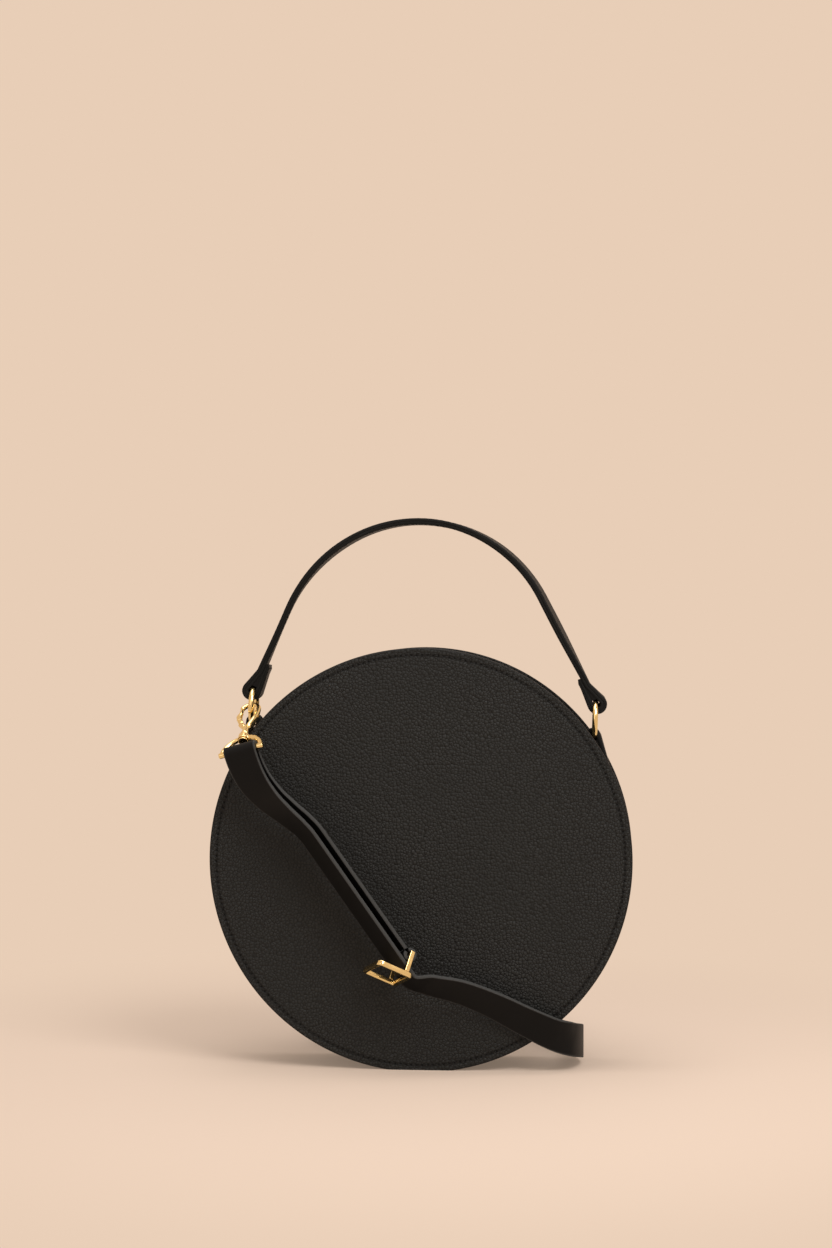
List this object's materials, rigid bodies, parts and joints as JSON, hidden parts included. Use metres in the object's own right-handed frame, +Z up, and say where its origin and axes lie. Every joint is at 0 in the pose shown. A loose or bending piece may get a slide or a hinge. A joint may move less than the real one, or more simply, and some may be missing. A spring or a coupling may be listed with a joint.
{
  "type": "round shoulder bag",
  "caption": "Round flat-sided leather bag with a zipped mouth along the top, an arched top handle on rings, and a clip-on shoulder strap with an adjuster, one end unclipped.",
  "frame": {"origin": "on the floor under the middle of the bag's foot, midway between front and back", "axes": "+X to the right as seen from the front, +Y to the back, +Z up"},
  "size_m": [0.21, 0.1743, 0.2737],
  "materials": {
    "pebbled_leather": "pebbled, low sheen",
    "smooth_leather": "smooth, painted edges",
    "board": "stiffening board",
    "lining_cloth": "plain weave lining",
    "zip_tape": "woven tape",
    "gold_metal": "polished pale gold plating"
  },
  "bodies": {
    "bag": {"front_panel": "pebbled_leather", "back_panel": "pebbled_leather", "gusset": "pebbled_leather", "front_board": "board", "back_board": "board", "front_lining": "lining_cloth", "back_lining": "lining_cloth", "gusset_lining": "lining_cloth", "slip_pocket": "lining_cloth", "zip_strip_front": "pebbled_leather", "zip_strip_back": "pebbled_leather", "zip_tape_front": "zip_tape", "zip_tape_back": "zip_tape", "zip_teeth_front": "gold_metal", "zip_teeth_back": "gold_metal", "zip_stops": "gold_metal", "tab_left": "smooth_leather", "tab_right": "smooth_leather", "shoulder_strap": "smooth_leather", "strap_back_run": "smooth_leather", "hook_eye_left": "gold_metal", "hook_eye_right": "gold_metal"},
    "handle": {"handle": "smooth_leather"},
    "ring_left": {"ring_left": "gold_metal"},
    "ring_right": {"ring_right": "gold_metal"},
    "zip_slider": {"zip_slider": "gold_metal"},
    "zip_pull": {"zip_pull": "gold_metal"},
    "hook_left": {"claw_left": "gold_metal", "gate_pin_left": "gold_metal"},
    "gate_left": {"gate_left": "gold_metal"},
    "hook_right": {"claw_right": "gold_metal", "gate_pin_right": "gold_metal"},
    "gate_right": {"gate_right": "gold_metal"},
    "adjuster": {"slide_frame": "gold_metal", "slide_bar": "gold_metal", "strap_end_loop": "smooth_leather"}
  },
  "joints": [
    {"name": "handle_swing", "type": "hinge", "parent": "bag", "child": "handle", "pos_m": [-0.0859, 0, 0.17932], "axis": [0.9993, 0, -0.0379], "range_deg": [-55, 18]},
    {"name": "ring_left_turn", "type": "hinge", "parent": "bag", "child": "ring_left", "pos_m": [-0.0859, 0, 0.17932], "axis": [0.9993, 0, -0.0379], "continuous": true},
    {"name": "ring_right_turn", "type": "hinge", "parent": "bag", "child": "ring_right", "pos_m": [0.0865, 0, 0.17278], "axis": [0.9993, 0, -0.0379], "continuous": true},
    {"name": "zip_travel", "type": "hinge", "parent": "bag", "child": "zip_slider", "pos_m": [0, 0, 0.10377], "axis": [0, 1, 0], "range_deg": [-77, 0], "deforming": ["zip_teeth_front", "zip_teeth_back", "zip_tape_front", "zip_tape_back"]},
    {"name": "zip_pull_flip", "type": "hinge", "parent": "zip_slider", "child": "zip_pull", "pos_m": [0.06429, 0, 0.18239], "axis": [0, 1, 0], "range_deg": [0, 80]},
    {"name": "hook_left_swivel", "type": "hinge", "parent": "bag", "child": "hook_left", "pos_m": [-0.0865, -0.00884, 0.17679], "axis": [0, 0.8387, 0.5446], "range_deg": [-10, 12]},
    {"name": "gate_left_open", "type": "hinge", "parent": "hook_left", "child": "gate_left", "pos_m": [-0.09064, -0.01549, 0.1716], "axis": [0.1736, 0.5364, -0.8259], "range_deg": [0, 14], "stiffness_Nm_per_rad": 0.01, "springref_deg": -8.59},
    {"name": "hook_right_swivel", "type": "hinge", "parent": "bag", "child": "hook_right", "pos_m": [0.03573, 0.03675, 0.00238], "axis": [0.9994, 0, -0.0349], "continuous": true},
    {"name": "gate_right_open", "type": "hinge", "parent": "hook_right", "child": "gate_right", "pos_m": [0.02734, 0.03255, 0.00267], "axis": [0.0349, 0, 0.9994], "range_deg": [0, 22], "stiffness_Nm_per_rad": 0.01, "springref_deg": -8.59},
    {"name": "adjuster_slide", "type": "slide", "parent": "bag", "child": "adjuster", "axis": [-0.5798, 0, 0.8147], "range_m": [0, 0.05], "deforming": ["strap_back_run"]}
  ]
}
